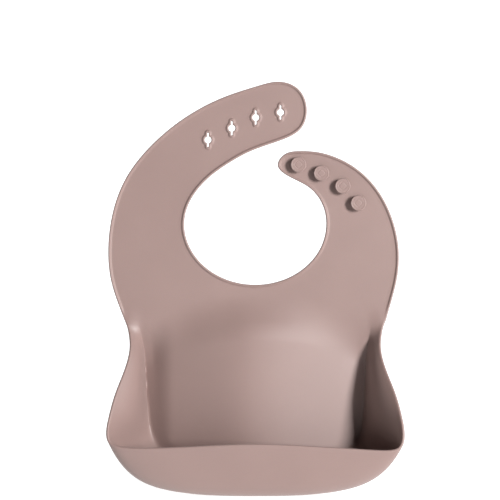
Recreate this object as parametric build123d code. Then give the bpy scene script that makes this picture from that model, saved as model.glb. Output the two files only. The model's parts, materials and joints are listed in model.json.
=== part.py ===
"""Silicone baby bib with a crumb-catcher pocket and a button-and-hole neck strap.

Millimetres, worn upright: +Z is up, +X is the viewer's right and the front of the bib
faces -Y. The origin is the centre of the neck opening, on the back face of the collar.
The bib is one moulding; it is modelled as the stretches of silicone that bend against
each other, with a narrow gap wherever the real sheet bends.
"""

import os
from math import cos, hypot, radians, sin

from build123d import *

# ---- driving sizes -------------------------------------------------------------------
SHEET = 2.0            # thickness of the flat collar and straps
WALL = 2.0             # thickness of the panel and the pocket walls
BEAD_WIDTH = 2.2       # raised rim along the collar's edges
BEAD_HEIGHT = 1.0
BEAD_STEPS = 90
BEND_GAP = 1.0         # between two strap stretches
FOLD_GAP = 3.2         # across the fold under the collar
MOULD_GAP = 0.3        # between neighbours that move together
FOLD_Z = -63.0         # height of the fold line under the neck opening
BEAD_END_Z = -57.0     # the collar's bead ends just above the fold

# neck opening: the lower half is half an ellipse
NECK_HALF_WIDTH = 52.5
NECK_DROP = 45.0

# outline of the collar, from the left end of the fold up, round the hole strap and
# down its inner edge to the neck; then from the neck round the button strap and down
HOLE_STRAP_EDGE = [
    (-99.6, FOLD_Z), (-106.9, -40), (-108.6, -20), (-106.1, 4.4), (-97, 31.1), (-77, 57.8),
    (-49.7, 80), (-24.2, 93.3), (2.4, 102.2), (18.4, 105.1), (31.5, 100), (38.2, 84.4),
    (34.3, 71.1), (20, 62.2), (-4.4, 53.3), (-20.4, 44.4), (-32.7, 35.6), (-41.6, 26.7),
    (-49.3, 14.5), (-NECK_HALF_WIDTH, 0),
]
BUTTON_STRAP_EDGE = [
    (NECK_HALF_WIDTH, 0), (49.6, 14.5), (40.1, 26.7), (23.9, 35.6), (16.6, 43.5), (21, 51),
    (33, 53.9), (44.4, 53.3), (60.3, 48.9), (75.9, 40), (92.3, 22.2), (101, 4.4),
    (105.9, -18), (104.8, -40), (98.4, FOLD_Z),
]

# bend lines across the straps: bearing of the line's middle about the neck centre, and
# the bearing along which the line itself runs
BEND_RADIUS = 80.0
BEND_CUT = 90.0
HOLE_STRAP_BENDS = [(205, 213), (187, 201), (169, 181.8), (151, 154.5), (133, 133.3)]
BUTTON_STRAP_BENDS = [(-27, -20), (-12, -3), (2, -12)]

# buttonholes: a round hole with a slit through it, inside a raised lip
HOLES = [(-34.9, 62.1), (-17.3, 70.7), (0.4, 78.6), (18.7, 82.4)]
HOLE_DIAMETER = 5.9
SLIT_LENGTH = 11.7
SLIT_WIDTH = 1.3
LIP_WIDTH = 1.6
LIP_HEIGHT = 0.9

# mushroom studs
STUDS = [(31.8, 43.6), (48.7, 37.3), (64.4, 27.8), (75.9, 15.3)]
STUD_HEAD = 11.6
STUD_NECK = 5.4
STUD_HEIGHT = 5.2
STUD_HEAD_DEPTH = 2.6
STUD_ROUND = 1.1
STUD_DISH = 8.0
STUD_DISH_DEPTH = 0.5

# lower panel: bows forward in the middle once it has left the fold
PANEL_TOP = -71.0
PANEL_LOW = -182.0
BOW = 15.0
BOW_BACK = 5.0
BOW_RUN = 28.0
BOW_HALF_WIDTH = 84.0
RIDGE_ROUND = 0.25

# pocket wall: each row is one station down the left side to the middle of the bottom;
# panel edge (x, z), crease (x, z), then inner wall, outer wall and rim (x, y, z)
STATIONS = [
    ((-80, -71), (-86, -71), (-90, -1.0, -71), (-94, -1.0, -71), (-96.6, -1.0, -71)),
    ((-78.5, -76), (-85.5, -76), (-89, -1.0, -76), (-92, -1.2, -76), (-94.3, -1.6, -76)),
    ((-77, -83), (-84.5, -83), (-87.5, -1.5, -83), (-90, -3.5, -83), (-92.4, -5.8, -83)),
    ((-75.5, -94), (-83, -94), (-86, -3.0, -94), (-89, -7.0, -94), (-91.4, -11.0, -93)),
    ((-74.5, -108), (-82.5, -108), (-86, -6.0, -108), (-91, -13, -107.5), (-95, -19, -107)),
    ((-73.5, -124), (-81.5, -124.5), (-87, -9, -124.5), (-94.5, -20, -124), (-101.3, -30.5, -122.5)),
    ((-72.5, -139), (-80.5, -141), (-88, -11, -141.5), (-97.5, -26, -141), (-104.6, -39.5, -138)),
    ((-70.5, -151), (-78.5, -155.5), (-88.5, -11, -160), (-101.5, -28, -160.5), (-106.4, -43, -149.5)),
    ((-65, -160.5), (-71, -167.5), (-84, -8, -179.5), (-97, -30, -183.5), (-104, -44.5, -158.5)),
    ((-52, -166), (-56, -173.5), (-69, -6, -192), (-78, -34, -196), (-84, -45, -160.5)),
    ((-28, -168.5), (-30, -176.5), (-35, -5, -197.5), (-39, -36, -200.5), (-42, -46, -158.5)),
    ((0, -169), (0, -177), (0, -4, -198), (0, -37, -201), (0, -46.5, -156)),
]
CHEEK_END = 8.6        # station where a cheek gives way to the gutter and the front wall
GUTTER_END = 0.61      # how far round the wall the gutter ends
FRONT_START = 0.64     # how far round the wall the front wall starts
SMALL_STEP = 0.015     # half a mould gap, in stations
HINGE_STEP = 0.1       # clearance beside the front wall, in stations

MID = -SHEET / 2       # middle of the flat sheet


def smooth(value):
    """Ease from 0 to 1."""
    value = min(1.0, max(0.0, value))
    return value * value * (3 - 2 * value)


def ridge(share):
    """Roof with a soft ridge: 0 in the middle, 1 at either side."""
    fall = hypot(share, RIDGE_ROUND) - RIDGE_ROUND
    return fall / (hypot(1, RIDGE_ROUND) - RIDGE_ROUND)


def panel_y(x, z):
    """Depth of the middle of the lower panel's sheet."""
    grown = smooth((PANEL_TOP - z) / BOW_RUN)
    return MID + grown * (BOW_BACK - BOW * (1 - ridge(x / BOW_HALF_WIDTH)))


def spline_weights(count, at):
    """Weights of a clamped cubic B-spline's control points; at runs from 0 to count - 1."""
    spans = count - 3
    place = at / (count - 1) * spans
    knots = [0.0] * 3 + [float(k) for k in range(spans + 1)] + [float(spans)] * 3
    span = min(int(place), spans - 1) + 3
    basis = [1.0]
    for degree in range(1, 4):
        raised = [0.0] * (degree + 1)
        for k, value in enumerate(basis):
            low = knots[span - degree + 1 + k]
            high = knots[span + 1 + k]
            share = (place - low) / (high - low)
            raised[k] += (1 - share) * value
            raised[k + 1] += share * value
        basis = raised
    return [(span - 3 + k, value) for k, value in enumerate(basis)]


def control_net():
    """Control points of the pocket wall, station by station, left waist to right waist."""
    half = []
    for edge, crease, *outer in STATIONS:
        inner = [(x, panel_y(x, z), z) for x, z in (edge, crease)]
        half.append(inner + [tuple(point) for point in outer])
    mirrored = [[(-x, y, z) for x, y, z in row] for row in reversed(half[:-1])]
    return half + mirrored


NET = control_net()
LAST_STATION = len(NET) - 1
ROUND_STEPS = len(NET[0]) - 1


def wall_point(station, around):
    """Point of the pocket wall's middle; around is 0 at the panel and 1 at the rim."""
    x = y = z = 0.0
    for row, row_weight in spline_weights(len(NET), station):
        for column, weight in spline_weights(len(NET[0]), around * ROUND_STEPS):
            px, py, pz = NET[row][column]
            share = row_weight * weight
            x += share * px
            y += share * py
            z += share * pz
    return (x, y, z)


def wall_patch(station_range, around_range, station_steps, around_steps):
    """Solid stretch of pocket wall between two stations and two places round the wall."""
    grid = []
    for i in range(station_steps + 1):
        station = station_range[0] + (station_range[1] - station_range[0]) * i / station_steps
        row = []
        for j in range(around_steps + 1):
            around = around_range[0] + (around_range[1] - around_range[0]) * j / around_steps
            row.append(Vector(*wall_point(station, around)))
        grid.append(row)
    return thick(Face.make_surface_from_array_of_points(grid, tol=0.02))


def thick(face):
    """Give a face the wall's thickness, half to each side."""
    return thicken(face, amount=WALL / 2, both=True)


def upright(face, front, back):
    """Stand a face drawn flat on the collar and fill it between two depths."""
    return Pos(0, back, 0) * Rot(90, 0, 0) * extrude(face, amount=back - front, dir=(0, 0, 1))


# ---- collar and straps ---------------------------------------------------------------
def collar_edge():
    """Free edge of the collar, from the left end of the fold round to the right end."""
    neck = [
        (-NECK_HALF_WIDTH * cos(radians(a)), -NECK_DROP * sin(radians(a)))
        for a in range(20, 161, 20)
    ]
    return Spline(*HOLE_STRAP_EDGE, *neck, *BUTTON_STRAP_EDGE)


def inset(edge, distance, steps):
    """A copy of an edge moved to its right-hand side."""
    points = []
    for i in range(steps + 1):
        along = edge % (i / steps)
        points.append(edge @ (i / steps) + Vector(along.Y, -along.X) * distance)
    return Spline(*points)


def strip(edge, other):
    """Face between two edges that run the same way."""
    return make_face([edge, Line(edge @ 1, other @ 1), other, Line(other @ 0, edge @ 0)])


def bead_ring(edge):
    """Raised rim along the collar's free edge."""
    ring = strip(edge, inset(edge, BEAD_WIDTH, BEAD_STEPS))
    raised = upright(ring, MID - SHEET / 2 - BEAD_HEIGHT, MID)
    above_fold = Pos(0, 0, BEAD_END_Z + 100) * Box(300, 20, 200)
    return raised & above_fold


def bend_slab(middle, bearing):
    """Narrow block across the strap that clears one bend."""
    x = BEND_RADIUS * cos(radians(middle))
    z = BEND_RADIUS * sin(radians(middle))
    return Pos(x, 0, z) * Rot(0, -bearing, 0) * Box(BEND_CUT, 12, BEND_GAP)


def nearest(solids, x, z):
    """The solid whose middle is closest to a place on the collar."""
    return min(solids, key=lambda solid: (solid.center() - Vector(x, MID, z)).length)


def around_neck(bearing, radius=BEND_RADIUS):
    """Place on the collar at a bearing about the neck centre."""
    return (radius * cos(radians(bearing)), radius * sin(radians(bearing)))


# ---- buttonholes and studs -----------------------------------------------------------
def hole_face(grow=0.0):
    """Buttonhole outline, a circle crossed by an upright slit, grown by a margin."""
    circle = Circle(HOLE_DIAMETER / 2 + grow)
    slit = SlotOverall(SLIT_LENGTH + 2 * grow, SLIT_WIDTH + 2 * grow, rotation=90)
    return circle + slit


def hole_cutter(x, z):
    """Block that cuts one buttonhole right through."""
    return upright(hole_face(), -8, 8).moved(Location((x, 0, z)))


def hole_lip(x, z):
    """Raised lip that follows one buttonhole."""
    ring = hole_face(LIP_WIDTH) - hole_face()
    front = MID - SHEET / 2 - LIP_HEIGHT
    return upright(ring, front, MID - SHEET / 2).moved(Location((x, 0, z)))


def stud(x, z):
    """Mushroom stud standing on the front of the strap."""
    head_foot = STUD_HEIGHT - STUD_HEAD_DEPTH
    neck = extrude(Circle(STUD_NECK / 2), amount=head_foot)
    head = Pos(0, 0, head_foot) * extrude(Circle(STUD_HEAD / 2), amount=STUD_HEAD_DEPTH)
    head = fillet(head.edges().filter_by(GeomType.CIRCLE), STUD_ROUND)
    dish = Pos(0, 0, STUD_HEIGHT - STUD_DISH_DEPTH) * extrude(Circle(STUD_DISH / 2), amount=1)
    whole = neck + head - dish
    return Pos(x, MID - SHEET / 2, z) * Rot(90, 0, 0) * whole


# ---- lower panel and pocket ----------------------------------------------------------
def lower_panel():
    """Panel under the fold, bowed forward, up to where the pocket walls start."""
    across = 16
    down = 20
    grid = []
    for i in range(across + 1):
        x = -100 + 200 * i / across
        column = []
        for j in range(down + 1):
            z = FOLD_Z + (PANEL_LOW - FOLD_Z) * j / down
            column.append(Vector(x, panel_y(x, z), z))
        grid.append(column)
    sheet = thick(Face.make_surface_from_array_of_points(grid, tol=0.02))
    edge = [wall_point(station / 2, 0) for station in range(2 * LAST_STATION + 1)]
    top = FOLD_Z - FOLD_GAP / 2
    side = -STATIONS[0][4][0]
    around = Spline(*[(x, z) for x, _, z in edge])
    around = inset(around, -MOULD_GAP, 2 * LAST_STATION)
    upper = Polyline(
        around @ 1, (side, PANEL_TOP), (side + 1, top),
        (-side - 1, top), (-side, PANEL_TOP), around @ 0,
    )
    outline = make_face([around, *upper.edges()])
    return sheet & upright(outline, -40, 40)


def pocket_walls():
    """The two cheeks, the gutter along the bottom and the front wall."""
    far = LAST_STATION
    left_cheek = (SMALL_STEP, CHEEK_END - SMALL_STEP)
    right_cheek = (far - left_cheek[1], far - left_cheek[0])
    gutter = (CHEEK_END + SMALL_STEP, far - CHEEK_END - SMALL_STEP)
    front = (CHEEK_END + HINGE_STEP, far - CHEEK_END - HINGE_STEP)
    return {
        "pocket_cheek_left": wall_patch(left_cheek, (0, 1), 24, 12),
        "pocket_cheek_right": wall_patch(right_cheek, (0, 1), 24, 12),
        "pocket_gutter": wall_patch(gutter, (0, GUTTER_END), 16, 10),
        "pocket_front": wall_patch(front, (FRONT_START, 1), 16, 8),
    }


# ---- the whole bib -------------------------------------------------------------------
def build():
    """Every piece by name."""
    edge = collar_edge()
    outline = make_face([edge, Line(edge @ 1, edge @ 0)])
    sheet = upright(outline, MID - SHEET / 2, MID + SHEET / 2) + bead_ring(edge)
    fold = Pos(0, 0, FOLD_Z) * Box(300, 20, FOLD_GAP)
    cuts = [bend_slab(*bend) for bend in HOLE_STRAP_BENDS + BUTTON_STRAP_BENDS]
    stretches = (sheet - cuts - fold).solids()

    pieces = {"collar_front": nearest(stretches, 0, -60)}
    left = [bearing for bearing, _ in HOLE_STRAP_BENDS] + [105]
    for number, (low, high) in enumerate(zip(left, left[1:]), start=1):
        place = around_neck((low + high) / 2)
        pieces[f"hole_strap_{number}"] = nearest(stretches, *place)
    right = [bearing for bearing, _ in BUTTON_STRAP_BENDS] + [50]
    for number, (low, high) in enumerate(zip(right, right[1:]), start=1):
        place = around_neck((low + high) / 2)
        pieces[f"button_strap_{number}"] = nearest(stretches, *place)

    tip = "hole_strap_5"
    pieces[tip] = pieces[tip] - [hole_cutter(x, z) for x, z in HOLES]
    for number, (x, z) in enumerate(HOLES, start=1):
        pieces[f"buttonhole_lip_{number}"] = hole_lip(x, z)
    for number, (x, z) in enumerate(STUDS, start=1):
        pieces[f"button_stud_{number}"] = stud(x, z)

    pieces["lower_panel"] = lower_panel()
    pieces.update(pocket_walls())
    return pieces


os.makedirs("parts", exist_ok=True)
for name, piece in build().items():
    export_step(piece, f"parts/{name}.step")
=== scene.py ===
"""Silicone bib: one seamless skin over the CAD frame, cut where the silicone bends.

All shapes are worked out in millimetres in the CAD frame (+Z up, front towards -Y) and
turned into metres when a mesh is made.
"""

import json
import math

import bmesh
import bpy
import numpy as np
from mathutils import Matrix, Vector
from mathutils.geometry import delaunay_2d_cdt


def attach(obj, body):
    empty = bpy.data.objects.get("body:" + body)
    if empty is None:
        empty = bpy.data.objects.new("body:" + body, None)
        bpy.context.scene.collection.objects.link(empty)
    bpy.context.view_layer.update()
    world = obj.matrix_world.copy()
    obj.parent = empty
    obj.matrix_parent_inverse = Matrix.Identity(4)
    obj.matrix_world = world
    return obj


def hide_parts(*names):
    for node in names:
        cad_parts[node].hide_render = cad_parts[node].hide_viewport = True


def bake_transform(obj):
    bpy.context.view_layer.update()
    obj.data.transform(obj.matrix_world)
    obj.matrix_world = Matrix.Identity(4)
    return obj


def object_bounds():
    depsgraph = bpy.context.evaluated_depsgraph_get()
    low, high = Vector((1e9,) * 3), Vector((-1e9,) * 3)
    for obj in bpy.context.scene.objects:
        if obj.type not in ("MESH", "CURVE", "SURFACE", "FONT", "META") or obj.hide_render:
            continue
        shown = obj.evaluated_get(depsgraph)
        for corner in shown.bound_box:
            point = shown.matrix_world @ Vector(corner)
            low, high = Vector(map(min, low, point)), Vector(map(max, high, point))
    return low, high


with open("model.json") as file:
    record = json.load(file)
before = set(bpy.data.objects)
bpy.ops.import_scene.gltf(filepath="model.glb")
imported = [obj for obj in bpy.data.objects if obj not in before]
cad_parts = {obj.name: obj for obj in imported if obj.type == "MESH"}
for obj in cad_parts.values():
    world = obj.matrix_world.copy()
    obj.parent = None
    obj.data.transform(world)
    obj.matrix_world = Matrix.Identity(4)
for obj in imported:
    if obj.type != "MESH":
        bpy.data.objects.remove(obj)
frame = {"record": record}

cad_box = [list(corner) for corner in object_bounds()]
bodies = frame["record"]["behaviour"]["bodies"]
joints = {joint["name"]: joint for joint in frame["record"]["behaviour"]["joints"]}

MM = 0.001

# ---- sheet and edges, in millimetres -------------------------------------------------
SHEET = 2.0
MID = -SHEET / 2
SEAM_Z = -71.0         # the flat collar ends and the bowed panel starts here
SIDE = 96.6            # half the width of the sheet at the seam
BEAD_FADE = (-70.0, -58.0)     # the bead fades out between these heights
EDGE_ROUND = 0.9       # radius of the sheet's rounded edges
LEVEL_RUN = 8.0        # the cut edge's direction turns level over this height above the seam
EDGE_STEP = 1.5        # spacing of points along the edges
CURVE_SAMPLES = 3000   # points worked out on a curve before it is divided evenly
GRID_STEP = 2.3        # spacing of points inside the flat sheet
ROW_RATIO = 0.87       # row height over spacing, for even triangles
RIM_CLEARANCE = 0.55   # inner points keep this share of a spacing from a rim

# free edge of the collar: long strap, neck opening, short strap
NECK_HALF_WIDTH = 52.5
NECK_DROP = 45.0
HOLE_STRAP_EDGE = [
    (-SIDE, SEAM_Z), (-99.7, -63), (-106.9, -40), (-108.6, -20), (-106.1, 4.4), (-97, 31.1),
    (-77, 57.8), (-49.7, 80), (-24.2, 93.3), (2.4, 102.2), (18.4, 105.1), (31.5, 100),
    (38.2, 84.4), (34.3, 71.1), (20, 62.2), (-4.4, 53.3), (-20.4, 44.4), (-32.7, 35.6),
    (-41.6, 26.7), (-49.3, 14.5), (-NECK_HALF_WIDTH, 0),
]
BUTTON_STRAP_EDGE = [
    (NECK_HALF_WIDTH, 0), (49.6, 14.5), (40.1, 26.7), (23.9, 35.6), (16.6, 43.5), (21, 51),
    (33, 53.9), (44.4, 53.3), (60.3, 48.9), (75.9, 40), (92.3, 22.2), (101, 4.4),
    (105.9, -18), (104.8, -40), (98.9, -63), (SIDE, SEAM_Z),
]

# buttonholes: a margin round one widens its slit less at the sides, and least at the ends
HOLES = [(-34.9, 62.1), (-17.3, 70.7), (0.4, 78.6), (18.7, 82.4)]
HOLE_RADIUS = 2.5
SLIT_HALF_LENGTH = 5.3
SLIT_HALF_WIDTH = 0.55
SLIT_SIDE_GROWTH = 0.9
SLIT_END_GROWTH = 0.15
LEAST_RISE = 0.05      # a slit's straight side is never shorter than this
QUARTER_STEPS = 9      # steps round the hole, along the slit and round its end
SIDE_STEPS = 4
CAP_STEPS = 5

STUDS = [(31.8, 43.6), (48.7, 37.3), (64.4, 27.8), (75.9, 15.3)]

# how far before and after each hinge line a strap's skin bends, root to tip; the lines
# draw together at the neck opening, which is what keeps these short
BEND_REACH = {
    "hole_strap": [(5.8, 9.0), (9.0, 6.6), (7.6, 4.8), (5.5, 6.6), (6.6, 10.5)],
    "button_strap": [(8.0, 5.9), (5.8, 7.6), (7.5, 5.8)],
}

# ---- pocket, in millimetres ----------------------------------------------------------
BOW = 15.0             # the panel's middle stands this much in front of its sides
BOW_BACK = 5.0         # and its sides this much behind the collar
BOW_TOP = -50.0        # the bow starts here in the middle
BOW_ARCH = 21.0        # and this much lower at the sides
BOW_RUN = 36.0         # height over which it grows
BOW_HALF_WIDTH = 84.0  # the sides of the bow are this far from the middle
RIDGE_X = -6.0         # its foremost line is a little to the left
RIDGE_ROUND = 0.25     # and this soft, as a share of the half width
VALLEY_LEFT = 6.0      # extra depth of the valley along each side of the panel
VALLEY_RIGHT = 0.5
VALLEY_INNER = 61.0    # the valley starts this far from the middle
FLARE = 1.2            # the sheet's border is drawn forward this much at the waist
FLARE_INNER = 82.0
FLARE_WIDTH = 12.0
FLARE_TOP = -58.0      # it grows downward from here
FLARE_TOP_RUN = 16.0
FLARE_LOW = -98.0      # and upward from here
FLARE_LOW_RUN = 24.0

# each row is one station down the left side to the middle of the bottom: panel edge
# (x, z), crease (x, z), then inner wall, outer wall and rim (x, y, z)
STATIONS = [
    ((-80, -71), (-86, -71), (-90, -1.0, -71), (-94, -1.0, -71), (-96.6, -1.0, -71)),
    ((-78.5, -76), (-85.5, -76), (-89, -1.0, -76), (-92, -1.2, -76), (-94.3, -1.6, -76)),
    ((-77, -83), (-84.5, -83), (-87.5, -1.5, -83), (-90, -3.5, -83), (-92.4, -5.8, -83)),
    ((-75.5, -94), (-83, -94), (-84.8, -4.0, -94), (-87.2, -9.0, -94), (-91.4, -12.0, -93)),
    ((-74.5, -108), (-82.5, -108), (-84.2, -8.0, -108), (-88, -16.5, -107.5), (-95, -20, -107)),
    ((-73.5, -124), (-81.5, -124.5), (-84, -11.5, -124.5), (-90, -24, -124), (-101.3, -30.5, -122.5)),
    ((-72.5, -139), (-80.5, -141), (-84.5, -13, -141.5), (-93, -29, -141), (-104.6, -39.5, -138)),
    ((-70.5, -151), (-78.5, -155.5), (-88.5, -11, -160), (-101.5, -28, -160.5), (-106.4, -43, -149.5)),
    ((-65, -160.5), (-71, -167.5), (-84, -8, -179.5), (-97, -30, -183.5), (-104, -44.5, -158.5)),
    ((-52, -166), (-56, -173.5), (-69, -6, -192), (-78, -34, -196), (-84, -45, -160.5)),
    ((-28, -168.5), (-30, -176.5), (-35, -5, -197.5), (-39, -36, -200.5), (-42, -46, -158.5)),
    ((0, -169), (0, -177), (0, -4, -198), (0, -37, -201), (0, -46.5, -156)),
]
STATION_STEPS = 8      # grid lines per station
LIP_DROP = {7: 1.0, 8: 4.0, 9: 0.8}     # the right end of the lip hangs lower, by station
CORNER_STATION = 8     # where the panel's side gives way to its bottom
ROUND_STEPS = 32       # grid lines from the panel round to the rim
CURVE_RATIO = 4        # points worked out on the wall's curve for each grid line
EDGE_SHARE = 0.4       # share of the wall that bends to meet the panel's depth
RIM_ROUND = 0.9        # the half round of the pocket's rim reaches this far
RIM_ANGLES = (-60, -30, 0, 30, 60)
SEAM_NEAR = 1e-6       # a point this close to the seam's height is on it


def smooth(value):
    """Ease from 0 to 1."""
    value = min(1.0, max(0.0, value))
    return value * value * (3 - 2 * value)


# ---- curves --------------------------------------------------------------------------
def curve_through(points, step):
    """Evenly spaced points along the smooth cubic curve through the given ones."""
    points = np.array(points, float)
    lengths = np.linalg.norm(np.diff(points, axis=0), axis=1)
    knots = np.concatenate([[0.0], np.cumsum(lengths)])
    count = len(points)
    matrix = np.zeros((count, count))
    right = np.zeros((count, 2))
    matrix[0, 0] = matrix[-1, -1] = 1.0
    for i in range(1, count - 1):
        before = knots[i] - knots[i - 1]
        after = knots[i + 1] - knots[i]
        matrix[i, i - 1:i + 2] = before, 2 * (before + after), after
        slope_after = (points[i + 1] - points[i]) / after
        slope_before = (points[i] - points[i - 1]) / before
        right[i] = 6 * (slope_after - slope_before)
    bends = np.linalg.solve(matrix, right)

    def at(place):
        i = int(np.clip(np.searchsorted(knots, place) - 1, 0, count - 2))
        width = knots[i + 1] - knots[i]
        a = (knots[i + 1] - place) / width
        b = (place - knots[i]) / width
        curved = (a ** 3 - a) * bends[i] + (b ** 3 - b) * bends[i + 1]
        return a * points[i] + b * points[i + 1] + curved * width ** 2 / 6

    fine = np.array([at(p) for p in np.linspace(0, knots[-1], CURVE_SAMPLES)])
    along = np.concatenate([[0.0], np.cumsum(np.linalg.norm(np.diff(fine, axis=0), axis=1))])
    steps = round(along[-1] / step)
    targets = np.linspace(0, along[-1], steps + 1)
    return np.stack([np.interp(targets, along, fine[:, k]) for k in (0, 1)], axis=1)


def collar_edge():
    """Free edge of the collar from the left end of the seam to the right end."""
    neck = [
        (-NECK_HALF_WIDTH * math.cos(math.radians(a)), -NECK_DROP * math.sin(math.radians(a)))
        for a in range(20, 161, 20)
    ]
    return curve_through(HOLE_STRAP_EDGE + neck + BUTTON_STRAP_EDGE, EDGE_STEP)


def inward(edge):
    """Direction into the sheet at each point of the free edge; level at the seam."""
    along = np.gradient(edge, axis=0)
    normals = np.stack([along[:, 1], -along[:, 0]], axis=1)
    normals /= np.linalg.norm(normals, axis=1)[:, None]
    for i, (x, z) in enumerate(edge):
        share = smooth((SEAM_Z + LEVEL_RUN - z) / LEVEL_RUN)
        level = np.array([-math.copysign(1.0, x), 0.0])
        normals[i] = normals[i] * (1 - share) + level * share
        normals[i] /= np.linalg.norm(normals[i])
    return normals


# ---- edge profiles: (distance from the edge, depth) from the back face to the front ---
def arc(centre, radius, start, end, steps):
    """Points of an arc in the profile's plane, angles in degrees."""
    points = []
    for i in range(steps + 1):
        angle = math.radians(start + (end - start) * i / steps)
        x = centre[0] + radius * math.cos(angle)
        y = centre[1] + radius * math.sin(angle)
        points.append((x, y))
    return points


BACK_ROUND = arc((EDGE_ROUND, -EDGE_ROUND), EDGE_ROUND, 90, 180, 4)
PLAIN_FRONT = arc((EDGE_ROUND, EDGE_ROUND - SHEET), EDGE_ROUND, 180, 270, 5)
PLAIN_FLAT = [(1.2, -2), (1.5, -2), (1.8, -2), (2.1, -2), (2.5, -2), (2.9, -2)]
BEAD_FRONT = [(0, -1.9), (0.06, -2.33), (0.24, -2.67), (0.5, -2.9), (0.8, -3.0), (1.1, -2.98)]
BEAD_FLANK = [(1.38, -2.86), (1.62, -2.66), (1.84, -2.4), (2.06, -2.17), (2.35, -2.04), (2.9, -2)]
PLAIN = [(1.6, 0.0)] + BACK_ROUND + PLAIN_FRONT + PLAIN_FLAT
BEADED = [(1.6, 0.0)] + BACK_ROUND + BEAD_FRONT + BEAD_FLANK


def edge_profile(z):
    """Profile of the edge at a height: beaded, fading to plain towards the seam."""
    low, high = BEAD_FADE
    share = smooth((z - low) / (high - low))
    return [
        (p[0] + (b[0] - p[0]) * share, p[1] + (b[1] - p[1]) * share)
        for p, b in zip(PLAIN, BEADED)
    ]


# ---- buttonholes ---------------------------------------------------------------------
def hole_loop(grow):
    """Outline of a round hole crossed by an upright slit, both grown by a margin."""
    radius = HOLE_RADIUS + grow
    half_width = SLIT_HALF_WIDTH + grow * SLIT_SIDE_GROWTH
    tip = SLIT_HALF_LENGTH - SLIT_HALF_WIDTH + grow * SLIT_END_GROWTH
    meet = math.degrees(math.acos(half_width / radius))
    meet_z = radius * math.sin(math.radians(meet))
    quarter = arc((0, 0), radius, 0, meet, QUARTER_STEPS)
    rise = max(tip - meet_z, LEAST_RISE)
    side = [(half_width, meet_z + rise * k / SIDE_STEPS) for k in range(1, SIDE_STEPS + 1)]
    cap = arc((0, meet_z + rise), half_width, 0, 90, CAP_STEPS)[1:]
    first = quarter + side + cap
    second = [(-x, z) for x, z in reversed(first[:-1])]
    upper = first + second
    lower = [(-x, -z) for x, z in upper[1:-1]]
    return upper + lower


# the raised lip, front to back: (margin round the hole, depth)
HOLE_RINGS = [
    (2.6, -2.0), (2.2, -2.03), (1.95, -2.14), (1.75, -2.38), (1.5, -2.66), (1.2, -2.84),
    (0.85, -2.9), (0.5, -2.86), (0.22, -2.7), (0.05, -2.45), (0.0, -2.1), (0.0, -1.1),
    (0.0, -0.4), (0.12, -0.12), (0.4, 0.0),
]


# ---- meshes --------------------------------------------------------------------------
class Shape:
    """Points and faces gathered before they become one mesh."""

    def __init__(self):
        self.points = []
        self.faces = []

    def add(self, point):
        """Add a point and return its index."""
        self.points.append(point)
        return len(self.points) - 1

    def row(self, points):
        """Add a row of points and return their indices."""
        return [self.add(point) for point in points]

    def bridge(self, first, second, closed=False):
        """Quads between two rows of the same length."""
        count = len(first)
        for i in range(count if closed else count - 1):
            j = (i + 1) % count
            self.faces.append((first[i], first[j], second[j], second[i]))

    def mesh(self, name):
        """The gathered faces as a mesh, in metres."""
        mesh = bpy.data.meshes.new(name)
        mesh.from_pydata([[c * MM for c in p] for p in self.points], [], self.faces)
        mesh.update()
        return mesh


def fill_flat(shape, outline, holes, depth):
    """Triangles of a flat face between an outline and its holes, at one depth.

    Outline and holes are lists of indices of points already in the shape.
    """
    rims = [outline] + holes
    known = [index for rim in rims for index in rim]
    flat = [Vector((shape.points[i][0], shape.points[i][2])) for i in known]
    edges = []
    start = 0
    for rim in rims:
        count = len(rim)
        edges += [(start + k, start + (k + 1) % count) for k in range(count)]
        start += count
    rim_points = np.array([tuple(p) for p in flat])
    low = rim_points.min(axis=0)
    high = rim_points.max(axis=0)
    inner = []
    row_height = GRID_STEP * ROW_RATIO
    for r, z in enumerate(np.arange(low[1], high[1], row_height)):
        for x in np.arange(low[0] + (r % 2) * GRID_STEP / 2, high[0], GRID_STEP):
            inner.append((x, z))
    inner = np.array(inner)
    gap = np.linalg.norm(inner[:, None] - rim_points[None], axis=2).min(axis=1)
    inner = inner[gap > GRID_STEP * RIM_CLEARANCE]
    flat += [Vector(p) for p in inner.tolist()]
    points, _, faces, origins, _, _ = delaunay_2d_cdt(flat, edges, [], 1, 1e-4)
    index = []
    for point, origin in zip(points, origins):
        if origin and origin[0] < len(known):
            index.append(known[origin[0]])
        else:
            lift = bow(point.x, point.y) - flare(point.x, point.y)
            index.append(shape.add((point.x, depth + lift, point.y)))
    places = np.array([tuple(p) for p in points])
    centres = np.array([places[list(face)].mean(axis=0) for face in faces])
    in_hole = np.zeros(len(faces), bool)
    for hole in holes:
        in_hole |= within(centres, [(shape.points[i][0], shape.points[i][2]) for i in hole])
    shape.faces += [tuple(index[i] for i in f) for f, gone in zip(faces, in_hole) if not gone]


def within(places, corners):
    """Which places of the flat sheet are inside a loop of corners."""
    crossings = np.zeros(len(places), int)
    for (x0, z0), (x1, z1) in zip(corners, corners[1:] + corners[:1]):
        if z0 == z1:
            continue
        level = (z0 > places[:, 1]) != (z1 > places[:, 1])
        meet = x0 + (places[:, 1] - z0) / (z1 - z0) * (x1 - x0)
        crossings += level & (places[:, 0] < meet)
    return crossings % 2 == 1


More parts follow.
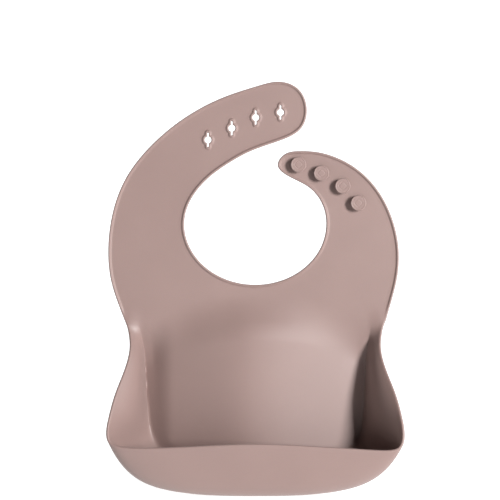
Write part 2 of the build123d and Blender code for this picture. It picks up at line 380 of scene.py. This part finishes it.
def collar_shape():
    """The flat collar and both straps, down to the seam, open along the seam."""
    shape = Shape()
    edge = collar_edge()
    normals = inward(edge)
    profiles = [edge_profile(z) for _, z in edge]
    rows = []
    for k in range(len(PLAIN)):
        row = []
        for (x, z), (nx, nz), profile in zip(edge, normals, profiles):
            distance, depth = profile[k]
            px = x + nx * distance
            pz = z + nz * distance
            row.append(shape.add((px, depth + bow(px, pz) - flare(px, pz), pz)))
        rows.append(row)
    for first, second in zip(rows, rows[1:]):
        shape.bridge(first, second)
    back_holes = []
    front_holes = []
    for x, z in HOLES:
        rings = []
        for grow, depth in HOLE_RINGS:
            rings.append(shape.row([(x + dx, depth, z + dz) for dx, dz in hole_loop(grow)]))
        for first, second in zip(rings, rings[1:]):
            shape.bridge(first, second, closed=True)
        front_holes.append(rings[0])
        back_holes.append(rings[-1])
    fill_flat(shape, rows[-1], front_holes, -SHEET)
    fill_flat(shape, rows[0], back_holes, 0.0)
    return shape


# ---- pocket --------------------------------------------------------------------------
def ridge(share):
    """Roof with a soft ridge: 0 in the middle, 1 at either side."""
    fall = math.hypot(share, RIDGE_ROUND) - RIDGE_ROUND
    return fall / (math.hypot(1, RIDGE_ROUND) - RIDGE_ROUND)


def bow(x, z):
    """How far back the sheet lies at a place of the collar or the lower panel."""
    start = BOW_TOP - BOW_ARCH * (x / BOW_HALF_WIDTH) ** 2
    grown = smooth((start - z) / BOW_RUN)
    from_ridge = x - RIDGE_X * (1 - abs(x) / BOW_HALF_WIDTH)
    forward = BOW * (1 - ridge(from_ridge / BOW_HALF_WIDTH))
    depth = VALLEY_LEFT if x < 0 else VALLEY_RIGHT
    valley = depth * smooth((abs(x) - VALLEY_INNER) / (BOW_HALF_WIDTH - VALLEY_INNER))
    return grown * (BOW_BACK - forward + valley)


def flare(x, z):
    """How far the sheet's border is drawn forward where the pocket's wall begins."""
    border = smooth((abs(x) - FLARE_INNER) / FLARE_WIDTH)
    below = smooth((FLARE_TOP - z) / FLARE_TOP_RUN)
    above = smooth((z - FLARE_LOW) / FLARE_LOW_RUN)
    return FLARE * border * below * above


def panel_y(x, z):
    """Depth of the middle of the lower panel's sheet."""
    return MID + bow(x, z)


def station_row(station, side):
    """Control points of one station, with side 1 on the left and -1 on the right.

    The crease counts twice, which makes it tighter.
    """
    edge, crease, *outer = station
    inner = [(side * x, panel_y(side * x, z), z) for x, z in (edge, crease, crease)]
    return inner + [(side * x, y, z) for x, y, z in outer]


def control_net():
    """Control points of the pocket wall, left waist to right waist."""
    left = [station_row(station, 1) for station in STATIONS]
    right = [station_row(station, -1) for station in reversed(STATIONS[:-1])]
    net = np.array(left + right)
    for station, drop in LIP_DROP.items():
        net[len(net) - 1 - station, -1, 2] -= drop
    return net


def spline_weights(count, at):
    """Row of weights of a clamped cubic B-spline; at runs from 0 to count - 1."""
    spans = count - 3
    place = at / (count - 1) * spans
    knots = [0.0] * 3 + [float(k) for k in range(spans + 1)] + [float(spans)] * 3
    span = min(int(place), spans - 1) + 3
    basis = [1.0]
    for degree in range(1, 4):
        raised = [0.0] * (degree + 1)
        for k, value in enumerate(basis):
            low = knots[span - degree + 1 + k]
            high = knots[span + 1 + k]
            share = (place - low) / (high - low)
            raised[k] += (1 - share) * value
            raised[k + 1] += share * value
        basis = raised
    weights = np.zeros(count)
    weights[span - 3:span + 1] = basis
    return weights


def wall_grid():
    """Middle of the pocket wall: a row per grid line, panel edge to rim."""
    net = control_net()
    lines = (len(net) - 1) * STATION_STEPS + 1
    along = np.array([spline_weights(len(net), i / STATION_STEPS) for i in range(lines)])
    last = net.shape[1] - 1
    fine = CURVE_RATIO * ROUND_STEPS
    around = np.array([spline_weights(last + 1, last * j / fine) for j in range(fine + 1)])
    rows = np.einsum("ia,jb,abc->ijc", along, around, net)
    return np.array([evenly(row, ROUND_STEPS, RIM_ROUND) for row in rows])


def evenly(row, steps, short):
    """Evenly spaced points along a row, the last one short of the row's end.

    The row starts in the panel's middle plane, and the border's flare is added.
    """
    lengths = np.concatenate([[0.0], np.cumsum(np.linalg.norm(np.diff(row, axis=0), axis=1))])
    places = np.linspace(0, lengths[-1] - short, steps + 1)
    points = np.stack([np.interp(places, lengths, row[:, k]) for k in range(3)], axis=1)
    gap = panel_y(points[0, 0], points[0, 2]) - points[0, 1]
    for k in range(steps + 1):
        meet = gap * smooth(1 - k / (EDGE_SHARE * steps))
        points[k, 1] += meet - flare(points[k, 0], points[k, 2])
    return points


def panel_grid(wall):
    """Middle of the lower panel: rows down, columns across, meeting the pocket wall."""
    rim = wall[:, 0, :]
    corner = CORNER_STATION * STATION_STEPS
    last = len(rim) - 1
    left = rim[:corner + 1, ::2]
    right = rim[last - corner:, ::2][::-1]
    bottom = rim[corner:last - corner + 1, ::2]
    columns = len(bottom) - 1
    along_seam = np.linspace(left[0, 0], right[0, 0], columns + 1)
    top = np.stack([along_seam, np.full(columns + 1, SEAM_Z)], axis=1)
    grid = np.zeros((corner + 1, columns + 1, 3))
    for i in range(corner + 1):
        v = i / corner
        for j in range(columns + 1):
            u = j / columns
            across = (1 - u) * left[i] + u * right[i]
            down = (1 - v) * top[j] + v * bottom[j]
            corners = (1 - v) * ((1 - u) * top[0] + u * top[-1])
            corners = corners + v * ((1 - u) * bottom[0] + u * bottom[-1])
            x, z = across + down - corners
            grid[i, j] = x, panel_y(x, z), z
    return grid


def pocket_shape():
    """The lower panel and the pocket as one sheet of even thickness, open at the seam."""
    wall = wall_grid()
    panel = panel_grid(wall)
    middle = Shape()
    panel_index = [middle.row(row.tolist()) for row in panel]
    corner = CORNER_STATION * STATION_STEPS
    last = len(wall) - 1
    wall_index = []
    for i, row in enumerate(wall):
        if i <= corner:
            first = panel_index[i][0]
        elif i >= last - corner:
            first = panel_index[last - i][-1]
        else:
            first = panel_index[corner][i - corner]
        wall_index.append([first] + middle.row(row[1:].tolist()))
    for first, second in zip(panel_index, panel_index[1:]):
        middle.bridge(first, second)
    for first, second in zip(wall_index, wall_index[1:]):
        middle.bridge(second, first)
    return thicken(middle, wall_index)


def thicken(middle, wall_index):
    """Offset the middle sheet to both sides and round its rim."""
    work = bmesh.new()
    work.from_mesh(middle.mesh("middle_sheet"))
    bmesh.ops.recalc_face_normals(work, faces=work.faces)
    work.normal_update()
    work.verts.ensure_lookup_table()
    normals = np.array([v.normal for v in work.verts])
    centre = wall_index[len(wall_index) // 2][0]
    if normals[centre][1] > 0:
        normals = -normals
    work.free()
    points = np.array(middle.points)
    for row in (wall_index[0], wall_index[-1]):
        normals[row] = (0, -1, 0)
    seam = np.abs(points[:, 2] - SEAM_Z) < SEAM_NEAR
    normals[seam] = (0, -1, 0)
    shape = Shape()
    front = shape.row((points + normals * SHEET / 2).tolist())
    back = shape.row((points - normals * SHEET / 2).tolist())
    rim = [row[-1] for row in wall_index]
    for a, b, c, d in middle.faces:
        shape.faces.append((front[a], front[b], front[c], front[d]))
        shape.faces.append((back[d], back[c], back[b], back[a]))
    # the rim: a half round from the back to the front, outside the last grid line
    rows = [[back[i] for i in rim]]
    outward = []
    for row in wall_index:
        step = points[row[-1]] - points[row[-2]]
        normal = normals[row[-1]]
        step = step - normal * step.dot(normal)
        outward.append(step / np.linalg.norm(step))
    outward[0] = np.array([-1.0, 0.0, 0.0])
    outward[-1] = np.array([1.0, 0.0, 0.0])
    for angle in RIM_ANGLES:
        lift = math.sin(math.radians(angle)) * SHEET / 2
        reach = math.cos(math.radians(angle)) * RIM_ROUND
        rows.append(shape.row([
            (points[i] + normals[i] * lift + out * reach).tolist()
            for i, out in zip(rim, outward)
        ]))
    rows.append([front[i] for i in rim])
    for first, second in zip(rows, rows[1:]):
        shape.bridge(first, second)
    return shape


# ---- studs ---------------------------------------------------------------------------
STUD_PROFILE = [
    (4.3, 0.0), (3.7, 0.06), (3.25, 0.25), (2.95, 0.6), (2.8, 1.1), (2.75, 1.8), (2.85, 2.25),
    (3.15, 2.5), (3.7, 2.6), (4.6, 2.62), (5.2, 2.7), (5.6, 2.95), (5.78, 3.35), (5.8, 3.9),
    (5.74, 4.35), (5.58, 4.7), (5.34, 4.92), (5.1, 5.02), (4.9, 5.0), (4.75, 4.92),
    (4.6, 4.88), (4.4, 4.88), (4.1, 4.89), (3.8, 4.9),
] + [(0.2 * k, 4.9) for k in range(18, 1, -1)]
STUD_SIDES = 72
DISH_RADIUS = 4.0      # inside this and above the dish's height a point can be engraved
DISH_HEIGHT = 4.8
SQUARE_HALF = 2.3      # half the side of the engraved square
SQUARE_POWER = 8       # a high power keeps its corners nearly sharp
LINE_DEPTH = 0.16
LINE_FADE = 0.28       # the line's sides slope over this distance
LINE_PEAK = 1.4        # how far the slopes overlap, which flattens the line's bottom


def engraving(dx, dz):
    """Depth of the line engraved round a square that stands on its corner."""
    across = abs(dx + dz) / math.sqrt(2)
    up = abs(dz - dx) / math.sqrt(2)
    reach = (across ** SQUARE_POWER + up ** SQUARE_POWER) ** (1 / SQUARE_POWER)
    return LINE_DEPTH * smooth(LINE_PEAK - abs(reach - SQUARE_HALF) / LINE_FADE)


def stud_shape(x, z):
    """Mushroom stud: turned profile with a low rim and an engraved square."""
    shape = Shape()
    rings = []
    for radius, height in STUD_PROFILE:
        ring = []
        for k in range(STUD_SIDES):
            angle = 2 * math.pi * k / STUD_SIDES
            dx = radius * math.cos(angle)
            dz = radius * math.sin(angle)
            in_dish = height > DISH_HEIGHT and radius < DISH_RADIUS
            cut = engraving(dx, dz) if in_dish else 0.0
            ring.append(shape.add((x + dx, -SHEET - height + cut, z + dz)))
        rings.append(ring)
    for first, second in zip(rings, rings[1:]):
        shape.bridge(first, second, closed=True)
    shape.faces.append(tuple(rings[-1]))
    shape.faces.append(tuple(reversed(rings[0])))
    return shape


# ---- material ------------------------------------------------------------------------
TAUPE_DARK = (0.250, 0.168, 0.152, 1)
TAUPE_LIGHT = (0.272, 0.184, 0.166, 1)
SMOOTHEST = 0.46
ROUGHEST = 0.54
MOTTLE_SCALE = 14.0    # cloudy tint
POWDER_SCALE = 1800.0  # fine powdery grain
WAVE_SCALE = 22.0      # slight unevenness of the moulding
POWDER_TINT = 0.10


def noise(nodes, links, place, scale, detail):
    """Noise of one scale in the bib's own coordinates."""
    node = nodes.new("ShaderNodeTexNoise")
    node.inputs["Scale"].default_value = scale
    node.inputs["Detail"].default_value = detail
    links.new(place.outputs["Object"], node.inputs["Vector"])
    return node


def bump(nodes, links, height, strength, distance):
    """Bump from the value of a noise."""
    node = nodes.new("ShaderNodeBump")
    node.inputs["Strength"].default_value = strength
    node.inputs["Distance"].default_value = distance
    links.new(height.outputs["Fac"], node.inputs["Height"])
    return node


def silicone():
    """Matte moulded silicone: fine powdery grain, faint mottling, soft sheen."""
    material = bpy.data.materials.new("silicone_matte")
    material.use_nodes = True
    nodes = material.node_tree.nodes
    links = material.node_tree.links
    shader = nodes["Principled BSDF"]
    shader.inputs["Specular IOR Level"].default_value = 0.55
    shader.inputs["Sheen Weight"].default_value = 0.12
    shader.inputs["Sheen Roughness"].default_value = 0.5

    place = nodes.new("ShaderNodeTexCoord")
    mottle = noise(nodes, links, place, MOTTLE_SCALE, detail=4.0)
    mottle.inputs["Roughness"].default_value = 0.55
    powder = noise(nodes, links, place, POWDER_SCALE, detail=2.0)
    waves = noise(nodes, links, place, WAVE_SCALE, detail=1.0)

    tint = nodes.new("ShaderNodeValToRGB")
    tint.color_ramp.elements[0].position = 0.3
    tint.color_ramp.elements[0].color = TAUPE_DARK
    tint.color_ramp.elements[1].position = 0.7
    tint.color_ramp.elements[1].color = TAUPE_LIGHT
    links.new(mottle.outputs["Fac"], tint.inputs["Fac"])
    dusted = nodes.new("ShaderNodeMix")
    dusted.data_type = "RGBA"
    dusted.blend_type = "SOFT_LIGHT"
    dusted.inputs["Factor"].default_value = POWDER_TINT
    links.new(tint.outputs["Color"], dusted.inputs["A"])
    links.new(powder.outputs["Color"], dusted.inputs["B"])
    links.new(dusted.outputs["Result"], shader.inputs["Base Color"])

    rough = nodes.new("ShaderNodeMapRange")
    rough.inputs["To Min"].default_value = SMOOTHEST
    rough.inputs["To Max"].default_value = ROUGHEST
    links.new(mottle.outputs["Fac"], rough.inputs["Value"])
    links.new(rough.outputs["Result"], shader.inputs["Roughness"])

    grain = bump(nodes, links, powder, strength=0.12, distance=0.00012)
    uneven = bump(nodes, links, waves, strength=0.10, distance=0.0012)
    links.new(grain.outputs["Normal"], uneven.inputs["Normal"])
    links.new(uneven.outputs["Normal"], shader.inputs["Normal"])
    return material


# ---- cutting the skin into pieces ----------------------------------------------------
SHARP_ANGLE = 55       # edges sharper than this, in degrees, are shaded sharp


def finish_mesh(bm, name, material):
    """Close a cut piece, face it outward and give it its finish."""
    rim = [e for e in bm.edges if e.is_boundary]
    if rim:
        bmesh.ops.holes_fill(bm, edges=rim, sides=0)
    bmesh.ops.recalc_face_normals(bm, faces=bm.faces)
    mesh = bpy.data.meshes.new(name)
    bm.to_mesh(mesh)
    mesh.polygons.foreach_set("use_smooth", [True] * len(mesh.polygons))
    mesh.set_sharp_from_angle(angle=math.radians(SHARP_ANGLE))
    mesh.materials.append(material)
    piece = bpy.data.objects.new(name, mesh)
    bpy.context.scene.collection.objects.link(piece)
    return piece


def cut_between(source, planes, near):
    """The part of a mesh on the far side of every plane that holds a given place.

    Each plane is (point, direction kept), in metres.
    """
    bm = bmesh.new()
    bm.from_mesh(source)
    for point, kept in planes:
        geometry = bm.verts[:] + bm.edges[:] + bm.faces[:]
        bmesh.ops.bisect_plane(
            bm, geom=geometry, dist=1e-7, plane_co=point, plane_no=kept, clear_inner=True
        )
    seed = min(bm.verts, key=lambda v: (v.co - near).length)
    found = {seed}
    queue = [seed]
    while queue:
        vertex = queue.pop()
        for e in vertex.link_edges:
            other = e.other_vert(vertex)
            if other not in found:
                found.add(other)
                queue.append(other)
    bmesh.ops.delete(bm, geom=[v for v in bm.verts if v not in found], context="VERTS")
    return bm


def hinge_line(name):
    """A hinge's pivot and direction, in metres, in the plane of the sheet."""
    joint = joints[name]
    pivot = Vector(joint["pos_m"])
    axis = Vector(joint["axis"]).normalized()
    return pivot, axis


def strap_pieces(mesh, names, prefix, headings, material):
    """One skin piece per bend of a strap, cut midway between bends.

    A heading is roughly the way the strap runs at that bend, root to tip. Returns the
    plane that cuts the strap off the collar.
    """
    lines = [hinge_line(name) for name in names]
    # the direction towards the tip, square to each bend line
    away = []
    for (_, axis), (x, z) in zip(lines, headings):
        square = Vector((-axis.z, 0, axis.x))
        away.append(square if square.x * x + square.z * z > 0 else -square)
    reach = BEND_REACH[prefix]
    first_pivot, _ = lines[0]
    cuts = [(first_pivot - away[0] * reach[0][0] * MM, away[0])]
    for k in range(len(lines) - 1):
        point = (lines[k][0] + lines[k + 1][0]) / 2
        cuts.append((point, (away[k] + away[k + 1]).normalized()))
    chain = ["collar"] + [f"{prefix}_{k + 1}" for k in range(len(lines))]
    for k, (pivot, _) in enumerate(lines):
        planes = [cuts[k]]
        if k + 1 < len(cuts):
            point, kept = cuts[k + 1]
            planes.append((point, -kept))
        bm = cut_between(mesh, planes, pivot)
        piece = finish_mesh(bm, f"{prefix}_skin_{k + 1}", material)
        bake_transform(piece)
        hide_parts(*[node for node in bodies[chain[k + 1]] if "stud" not in node])
    return cuts[0]


def build_straps(flat, material):
    """Both straps. Returns the planes where they leave the collar, which they keep."""
    left = ["hole_strap_curl"] + [f"hole_strap_bend_{k}" for k in (2, 3, 4, 5)]
    left_headings = [(-0.4, 1), (-0.1, 1), (0.2, 1), (0.5, 1), (0.8, 0.6)]
    right = ["button_strap_curl"] + [f"button_strap_bend_{k}" for k in (2, 3)]
    right_headings = [(0.3, 1), (0.1, 1), (-0.1, 1)]
    return [
        strap_pieces(flat, left, "hole_strap", left_headings, material),
        strap_pieces(flat, right, "button_strap", right_headings, material),
    ]


def build_collar(flat, cuts, material):
    """The collar's front between the straps, down to the seam."""
    planes = [(point, -kept) for point, kept in cuts]
    bm = cut_between(flat, planes, Vector((0, -SHEET, SEAM_Z)) * MM)
    piece = finish_mesh(bm, "collar_skin", material)
    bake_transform(piece)
    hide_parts("collar_front")


def build_pocket(material):
    """The lower panel and the pocket."""
    bm = bmesh.new()
    bm.from_mesh(pocket_shape().mesh("pocket"))
    piece = finish_mesh(bm, "pocket_skin", material)
    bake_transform(piece)
    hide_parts(*bodies["lower"], *bodies["pocket_front"])


def build_studs(material):
    """The four studs, which ride on the short strap's end."""
    for number, (x, z) in enumerate(STUDS, start=1):
        bm = bmesh.new()
        bm.from_mesh(stud_shape(x, z).mesh(f"stud_{number}"))
        piece = finish_mesh(bm, f"stud_head_{number}", material)
        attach(piece, "button_strap_3")
        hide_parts(f"button_stud_{number}")


# ---- stage, light and camera ---------------------------------------------------------
# The floor's glow is painted light standing in for a lit sweep; the round patch in front of the bib
# glows less, a painted shade that also gives the bib less light from below.
SHADED_PATCH_GLOW = 0.40      # in a round patch in front of the bib
BACKDROP_GLOW = 0.95   # further off
SHADE_PATCH_CENTRE_Y = -1.5    # the patch, in metres
SHADE_PATCH_INNER = 1.0
SHADE_PATCH_OUTER = 1.75
SWEEP_SIDE = 7.0       # the floor and the backdrop, in metres
SWEEP_FRONT = -6.0
SWEEP_BACK = 1.6
SWEEP_RADIUS = 0.8
SWEEP_STEPS = 12
BACKDROP_TOP = 4.0
ROOM_LIGHT = 0.02      # the room lights the bib this little, but is seen as white
ROOM_SEEN = 1.0
KEY_AZIMUTH = 42.0
KEY_ELEVATION = 10.0
KEY_DISTANCE = 4.0
KEY_SIZE = (0.8, 1.4)
KEY_POWER = 257.0
KEY_AIM = (0.0, 0.0, -0.08)
CAMERA_PLACE = (-3.85, -1100, -19.3)    # in millimetres
CAMERA_LENS = 107.0


def floor_material(floor_z):
    """Pale matte floor that gives off light of its own, as a lit sweep does: painted light, which
    glows less in a round patch in front of the bib as a painted shade.
    """
    material = bpy.data.materials.new("pale_floor")
    material.use_nodes = True
    nodes = material.node_tree.nodes
    links = material.node_tree.links
    shader = nodes["Principled BSDF"]
    shader.inputs["Base Color"].default_value = (0.5, 0.5, 0.5, 1)
    shader.inputs["Roughness"].default_value = 0.9
    shader.inputs["Specular IOR Level"].default_value = 0.1
    shader.inputs["Emission Color"].default_value = (1, 1, 1, 1)
    place = nodes.new("ShaderNodeTexCoord")
    apart = nodes.new("ShaderNodeVectorMath")
    apart.operation = "DISTANCE"
    apart.inputs[1].default_value = (0, SHADE_PATCH_CENTRE_Y, floor_z)
    # painted light: the floor's glow, dimmer in the painted shade patch in front of the bib
    glow = nodes.new("ShaderNodeMapRange")
    glow.interpolation_type = "SMOOTHSTEP"
    glow.inputs["From Min"].default_value = SHADE_PATCH_INNER
    glow.inputs["From Max"].default_value = SHADE_PATCH_OUTER
    glow.inputs["To Min"].default_value = SHADED_PATCH_GLOW
    glow.inputs["To Max"].default_value = BACKDROP_GLOW
    links.new(place.outputs["Object"], apart.inputs[0])
    links.new(apart.outputs["Value"], glow.inputs["Value"])
    links.new(glow.outputs["Result"], shader.inputs["Emission Strength"])
    return material


def build_stage(floor_z):
    """Pale floor that sweeps up into a backdrop far behind."""
    bm = bmesh.new()
    profile = [(SWEEP_FRONT, 0.0), (SWEEP_BACK, 0.0)]
    for k in range(1, SWEEP_STEPS + 1):
        angle = math.radians(90 * k / SWEEP_STEPS)
        y = SWEEP_BACK + SWEEP_RADIUS * math.sin(angle)
        profile.append((y, SWEEP_RADIUS * (1 - math.cos(angle))))
    profile.append((SWEEP_BACK + SWEEP_RADIUS, BACKDROP_TOP))
    rows = []
    for x in (-SWEEP_SIDE, SWEEP_SIDE):
        rows.append([bm.verts.new((x, y, floor_z + z)) for y, z in profile])
    for i in range(len(profile) - 1):
        bm.faces.new((rows[0][i], rows[1][i], rows[1][i + 1], rows[0][i + 1]))
    mesh = bpy.data.meshes.new("floor_sweep")
    bm.to_mesh(mesh)
    mesh.polygons.foreach_set("use_smooth", [True] * len(mesh.polygons))
    mesh.materials.append(floor_material(floor_z))
    stage = bpy.data.objects.new("floor_sweep", mesh)
    bpy.context.scene.collection.objects.link(stage)


def area_light(name, place, target, size, power):
    """Rectangular light at a place, aimed at a target."""
    light = bpy.data.lights.new(name, "AREA")
    light.shape = "RECTANGLE"
    light.size, light.size_y = size
    light.energy = power
    holder = bpy.data.objects.new(name, light)
    holder.location = place
    holder.rotation_euler = (target - place).to_track_quat("-Z", "Y").to_euler()
    bpy.context.scene.collection.objects.link(holder)


def build_lights():
    """A dim room seen as white, and a soft key from the right."""
    world = bpy.data.worlds.new("studio")
    world.use_nodes = True
    nodes = world.node_tree.nodes
    links = world.node_tree.links
    room = nodes["Background"]
    room.inputs["Color"].default_value = (1, 1, 1, 1)
    path = nodes.new("ShaderNodeLightPath")
    level = nodes.new("ShaderNodeMapRange")
    level.inputs["To Min"].default_value = ROOM_LIGHT
    level.inputs["To Max"].default_value = ROOM_SEEN
    links.new(path.outputs["Is Camera Ray"], level.inputs["Value"])
    links.new(level.outputs["Result"], room.inputs["Strength"])
    bpy.context.scene.world = world
    turn = math.radians(KEY_AZIMUTH)
    lift = math.radians(KEY_ELEVATION)
    aim = Vector(KEY_AIM)
    level_way = Vector((math.sin(turn), -math.cos(turn), 0))
    way = level_way * math.cos(lift) + Vector((0, 0, math.sin(lift)))
    area_light("key_right", aim + way * KEY_DISTANCE, aim, KEY_SIZE, KEY_POWER)


def build_camera():
    """Camera straight in front of the bib, at the height of its neck opening."""
    camera = bpy.data.cameras.new("camera")
    camera.lens = CAMERA_LENS
    camera.sensor_width = 36.0
    holder = bpy.data.objects.new("camera", camera)
    holder.location = Vector(CAMERA_PLACE) * MM
    holder.rotation_euler = (math.radians(90), 0, 0)
    bpy.context.scene.collection.objects.link(holder)
    bpy.context.scene.camera = holder


rubber = silicone()
flat_skin = collar_shape().mesh("flat")
strap_cuts = build_straps(flat_skin, rubber)
build_collar(flat_skin, strap_cuts, rubber)
build_pocket(rubber)
build_studs(rubber)
build_stage(cad_box[0][2])
build_lights()
build_camera()
bpy.context.scene.view_settings.view_transform = "Standard"
